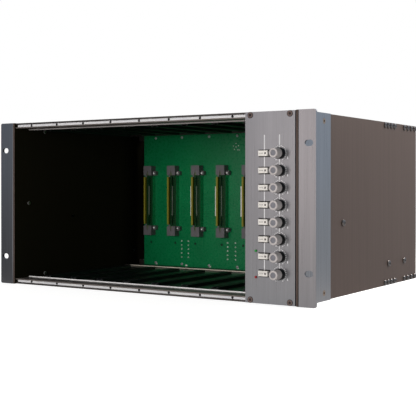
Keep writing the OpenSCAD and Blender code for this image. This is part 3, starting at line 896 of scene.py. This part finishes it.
class CAGE_OT_knobs(bpy.types.Operator):
    """Finish the rotary knobs and their caps, and fill their pointer grooves"""

    bl_idname = "card_cage.knobs"
    bl_label = "Rotary knobs"

    # Section of the filling: distance behind the knob's face, and from its axis
    filling = (-0.05, 3.5), (-0.05, 4.8), (0.12, 5.32), (0.29, 5.32), (0.29, 3.5)
    filling_half = 0.44 * MM

    def execute(self, context):
        finish, paint = context.scene.panel_finish, context.scene.cage_paint
        for name, material in (
                ("knob", moulded("Knob moulding", finish.knob, 0.36)),
                ("knob_cap", moulded("Knob insert", finish.knob_cap, 0.34)),
                ("pot_shaft", brushed_metal("Shaft steel", paint.screw_zinc, 0.3))):
            assign(material, *channel_nodes(name))
        assign(moulded("Potentiometer case", (0.03, 0.05, 0.12), 0.4), "potentiometers")
        paste = moulded("Pointer filling", finish.pointer, 0.45)
        for k in CHANNELS:
            middle, face = centre_of(f"knob_{k}"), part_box(f"knob_{k}")[0].y
            mesh = bmesh.new()
            add_prism(mesh, [(y * MM, reach * MM) for y, reach in self.filling],
                      -self.filling_half, self.filling_half)
            mesh.transform(Matrix.Translation((middle.x, face, middle.z))
                           @ Matrix.Rotation(-finish.sweep, 4, "Y"))
            piece(f"pointer_{k}", mesh, paste, f"channel_{k}_knob")
        return {"FINISHED"}


class CAGE_OT_lamps(bpy.types.Operator):
    """Finish the two indicator lamps"""

    bl_idname = "card_cage.lamps"
    bl_label = "Indicator lamps"

    def execute(self, context):
        for node, tint in (("led_green", (0.02, 0.35, 0.05)), ("led_red", (0.38, 0.01, 0.015))):
            recipe = Recipe(node, tint, 0.15)
            recipe.vary_colour(recipe.noise(0.002, 1.0), 0.08)
            assign(recipe.material, node)
        return {"FINISHED"}


class CAGE_OT_module(bpy.types.Operator):
    """Finish the plug-in module's circuit board and its components"""

    bl_idname = "card_cage.module"
    bl_label = "Module board"

    # Depth and height of the first part, pitch both ways, columns and rows, in mm
    chip_grid = (92, 61), (52, 40), (3, 4)
    resistor_grid = (118, 76), (30, 20), (4, 8)
    can_grid = (68, 52), (0, 36), (1, 4)
    chip_half_y, chip_half_z, chip_rise, chip_gap = mm(9.5, 3.2, 4, 0.6)
    legs, leg_pitch, leg_high, leg_reach = 7, 2.54 * MM, 2.4 * MM, 4.1 * MM
    # Shoulder and shank of a leg: inner end, half width, and end past the board's face
    leg_bars = mm(3.1, 0.6, -2.1), mm(3.8, 0.3, 0.3)
    can_r, can_height = mm(4, 11)

    def execute(self, context):
        board = context.scene.board_finish
        assign(lacquered_board("Module mask", tuple(board.module_mask)), "module_board")
        self.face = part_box("module_board")[0].x
        chips, pins = bmesh.new(), bmesh.new()
        for y, z in self.places(*self.chip_grid):
            self.chip(chips, pins, y, z)
        piece("module_chips", chips, moulded("Chip case", board.moulding, 0.5),
              bevel=0.25 * MM)
        piece("chip_pins", pins, brushed_metal("Chip legs", board.tin, 0.34))
        bodies, wires = bmesh.new(), bmesh.new()
        for y, z in self.places(*self.resistor_grid):
            self.resistor(bodies, wires, y, z)
        piece("module_resistors", bodies, moulded("Resistor lacquer", board.resist, 0.4),
              smooth_angle=40, bevel=0.3 * MM)
        piece("resistor_wires", wires, brushed_metal("Tinned wire", board.tin, 0.34),
              smooth_angle=40)
        cans = bmesh.new()
        for y, z in self.places(*self.can_grid):
            add_rod(cans, (self.face - self.can_height / 2, y, z), self.can_r, self.can_height,
                    axis="X", sides=32)
        piece("module_capacitors", cans, moulded("Capacitor sleeve", board.can, 0.35),
              smooth_angle=40, bevel=0.5 * MM)
        return {"FINISHED"}

    def places(self, first, pitch, counts):
        return [((first[0] + pitch[0] * column) * MM, (first[1] - pitch[1] * row) * MM)
                for row in range(counts[1]) for column in range(counts[0])]

    def chip(self, chips, pins, y, z):
        """A case that stands off the board on two rows of bent legs"""
        add_box(chips, (self.face - self.chip_rise, y - self.chip_half_y, z - self.chip_half_z),
                (self.face - self.chip_gap, y + self.chip_half_y, z + self.chip_half_z))
        for side in (-1, 1):
            for k in range(self.legs):
                at = y + self.leg_pitch * (k - self.legs // 2)
                for inner, half, foot in self.leg_bars:
                    low, high = sorted((z + side * inner, z + side * self.leg_reach))
                    add_box(pins, (self.face - self.leg_high, at - half, low),
                            (self.face + foot, at + half, high))

    def resistor(self, bodies, wires, y, z):
        """A buff body on a wire that bends down to the board at both ends"""
        rise, wire_r, bend = self.face - 1.6 * MM, 0.3 * MM, 5.3 * MM
        add_rod(bodies, (rise, y, z), 1.15 * MM, 6.4 * MM, sides=20)
        add_rod(wires, (rise, y, z), wire_r, 11.2 * MM, sides=10)
        for side in (-1, 1):
            add_rod(wires, (self.face - 0.65 * MM, y + side * bend, z), wire_r, 1.9 * MM,
                    axis="X", sides=10)


class CAGE_OT_stage(bpy.types.Operator):
    """Set the floor, the lamps and the camera"""

    bl_idname = "card_cage.stage"
    bl_label = "Studio"

    floor_reach = 12.0
    near_y, far_y = -0.1, 0.4  # stretch over which the floor's reflection changes
    # Painted pool of light on the floor, seen only in reflections
    slant, pool_edge = -0.42, (-0.22, 0.06)
    pool_levels, far_level = (0.16, 0.98), 0.72
    near_tint, far_tint = (1.0, 0.97, 0.96), (0.88, 0.94, 1.0)
    room_edge = -0.5, 0.3
    room_tint = 0.71, 0.84, 1.0

    def execute(self, context):
        light = context.scene.studio_light
        self.floor(light)
        self.world(light)
        front = self.softbox("Front softbox", (0.05, -1.8, 0.04), (0, 0.1, 0), (1.7, 0.9),
                             light.front, (1.0, 0.985, 0.97))
        front.visible_glossy = False
        self.softbox("Reflector card", (-0.50, -1.70, 0.22), (0.20, 0, 0), (0.68, 0.80),
                     light.card, (1.0, 0.865, 0.81))
        self.softbox("Side softbox", (0.60, 0.62, 0.60), (0.22, 0.36, 0), (0.4, 0.4),
                     light.side, (1.0, 0.97, 0.94))
        self.camera(light)
        return {"FINISHED"}

    def floor(self, light):
        mesh = bmesh.new()
        bmesh.ops.create_grid(mesh, x_segments=1, y_segments=1, size=self.floor_reach,
                              matrix=Matrix.Translation((0, 0, cad_box[0][2])))
        data = bpy.data.meshes.new("Floor")
        mesh.to_mesh(data)
        mesh.free()
        data.materials.append(self.floor_paint(light))
        floor = bpy.data.objects.new("Floor", data)
        bpy.context.scene.collection.objects.link(floor)

    def floor_paint(self, light):
        """Pale floor, lifted to white for the camera, with its own level for metal to mirror: a
        painted glow, brightest in a pool in front of the cage, that only reflections see
        """
        recipe = Recipe("Floor", grey(0.8), 0.9, specular=0.0)
        recipe.vary_colour(recipe.noise(0.5, 1.0), 0.01)
        path = recipe.node("ShaderNodeLightPath").outputs
        glow = recipe.node("ShaderNodeEmission", Strength=recipe.compute(
            "MULTIPLY", path["Is Camera Ray"], light.lift))
        lifted = recipe.node("ShaderNodeAddShader").inputs
        recipe.put(recipe.shader.outputs[0], lifted[0])
        recipe.put(glow.outputs[0], lifted[1])

        # Painted reflection: for glossy rays the floor glows, brightest in a pool in front of the
        # cage, warm near and bluish far
        depth = recipe.place("Y")
        across = recipe.compute("MULTIPLY_ADD", depth, self.slant, recipe.place("X"))
        pool = recipe.span(across, *self.pool_edge, *self.pool_levels)
        level = recipe.span(depth, self.near_y, self.far_y, pool, self.far_level)
        tint = recipe.ramp(recipe.span(depth, self.near_y, self.far_y),
                           [(0.0, self.near_tint), (1.0, self.far_tint)])
        mirrored = recipe.node("ShaderNodeEmission", Color=tint, Strength=level)
        choice = recipe.node("ShaderNodeMixShader", Fac=path["Is Glossy Ray"])
        recipe.put(lifted[0].node.outputs[0], choice.inputs[1])
        recipe.put(mirrored.outputs[0], choice.inputs[2])
        recipe.put(choice.outputs[0], recipe.tree.nodes["Material Output"].inputs["Surface"])
        return recipe.material

    def world(self, light):
        """White backdrop, a dimmer and bluer room for metal to mirror, and a soft fill"""
        world = bpy.data.worlds.new("Studio")
        bpy.context.scene.world = world
        world.use_nodes = True
        tree = Tree(world.node_tree, "Generated")
        path = tree.node("ShaderNodeLightPath").outputs
        room = tree.span(tree.place("Y"), *self.room_edge, light.front_room, light.back_room)
        mirrored = tree.compute("MULTIPLY", path["Is Glossy Ray"], room)
        seen = tree.compute("ADD", path["Is Camera Ray"], path["Is Transmission Ray"])
        diffuse = tree.compute("MULTIPLY", path["Is Diffuse Ray"], light.fill)
        backdrop = tree.tree.nodes["Background"].inputs
        tree.put(tree.compute("ADD", tree.compute("ADD", mirrored, seen), diffuse),
                 backdrop["Strength"])
        tree.put(tree.mix("MIX", (*grey(1.0), 1.0), (*self.room_tint, 1.0),
                          path["Is Glossy Ray"]), backdrop["Color"])

    def softbox(self, name, place, aim, size, radiance, tint):
        width, height = size
        lamp = bpy.data.lights.new(name, "AREA")
        lamp.shape = "RECTANGLE"
        lamp.size, lamp.size_y = width, height
        lamp.energy = radiance * math.pi * width * height
        lamp.color = tint
        made = bpy.data.objects.new(name, lamp)
        bpy.context.scene.collection.objects.link(made)
        made.location = place
        made.rotation_euler = (Vector(aim) - Vector(place)).to_track_quat("-Z", "Y").to_euler()
        return made

    def camera(self, light):
        data = bpy.data.cameras.new("Camera")
        data.lens = light.lens
        data.sensor_width = 36.0
        data.shift_x, data.shift_y = light.shift
        data.clip_end = 50.0
        made = bpy.data.objects.new("Camera", data)
        bpy.context.scene.collection.objects.link(made)
        made.location = light.eye
        made.rotation_euler = (math.pi / 2 + light.pitch, 0.0, light.yaw)
        bpy.context.scene.camera = made


# ---- sidebar and start


OPERATORS = (CAGE_OT_stage, CAGE_OT_sheet_metal, CAGE_OT_rails, CAGE_OT_screws, CAGE_OT_backplane,
             CAGE_OT_connectors, CAGE_OT_front_panel, CAGE_OT_buttons, CAGE_OT_knobs,
             CAGE_OT_lamps, CAGE_OT_module)
SETTINGS = {"cage_paint": CagePaint, "board_finish": BoardFinish, "panel_finish": PanelFinish,
            "studio_light": StudioLight}


class CAGE_PT_sidebar(bpy.types.Panel):
    """Lists the pieces of the card cage"""

    bl_idname = "CAGE_PT_sidebar"
    bl_label = "Card Cage"
    bl_space_type = "VIEW_3D"
    bl_region_type = "UI"
    bl_category = "Card Cage"

    def draw(self, context):
        for operator in OPERATORS:
            self.layout.operator(operator.bl_idname)


def register():
    for group in SETTINGS.values():
        bpy.utils.register_class(group)
    for name, group in SETTINGS.items():
        setattr(bpy.types.Scene, name, PointerProperty(type=group))
    for operator in OPERATORS:
        bpy.utils.register_class(operator)
    bpy.utils.register_class(CAGE_PT_sidebar)


def unregister():
    bpy.utils.unregister_class(CAGE_PT_sidebar)
    for operator in reversed(OPERATORS):
        bpy.utils.unregister_class(operator)
    for name in SETTINGS:
        delattr(bpy.types.Scene, name)
    for group in reversed(SETTINGS.values()):
        bpy.utils.unregister_class(group)


def main():
    register()
    bpy.context.scene.view_settings.view_transform = "Standard"
    for operator in OPERATORS:
        area, name = operator.bl_idname.split(".")
        getattr(getattr(bpy.ops, area), name)()


if __name__ == "__main__":
    main()
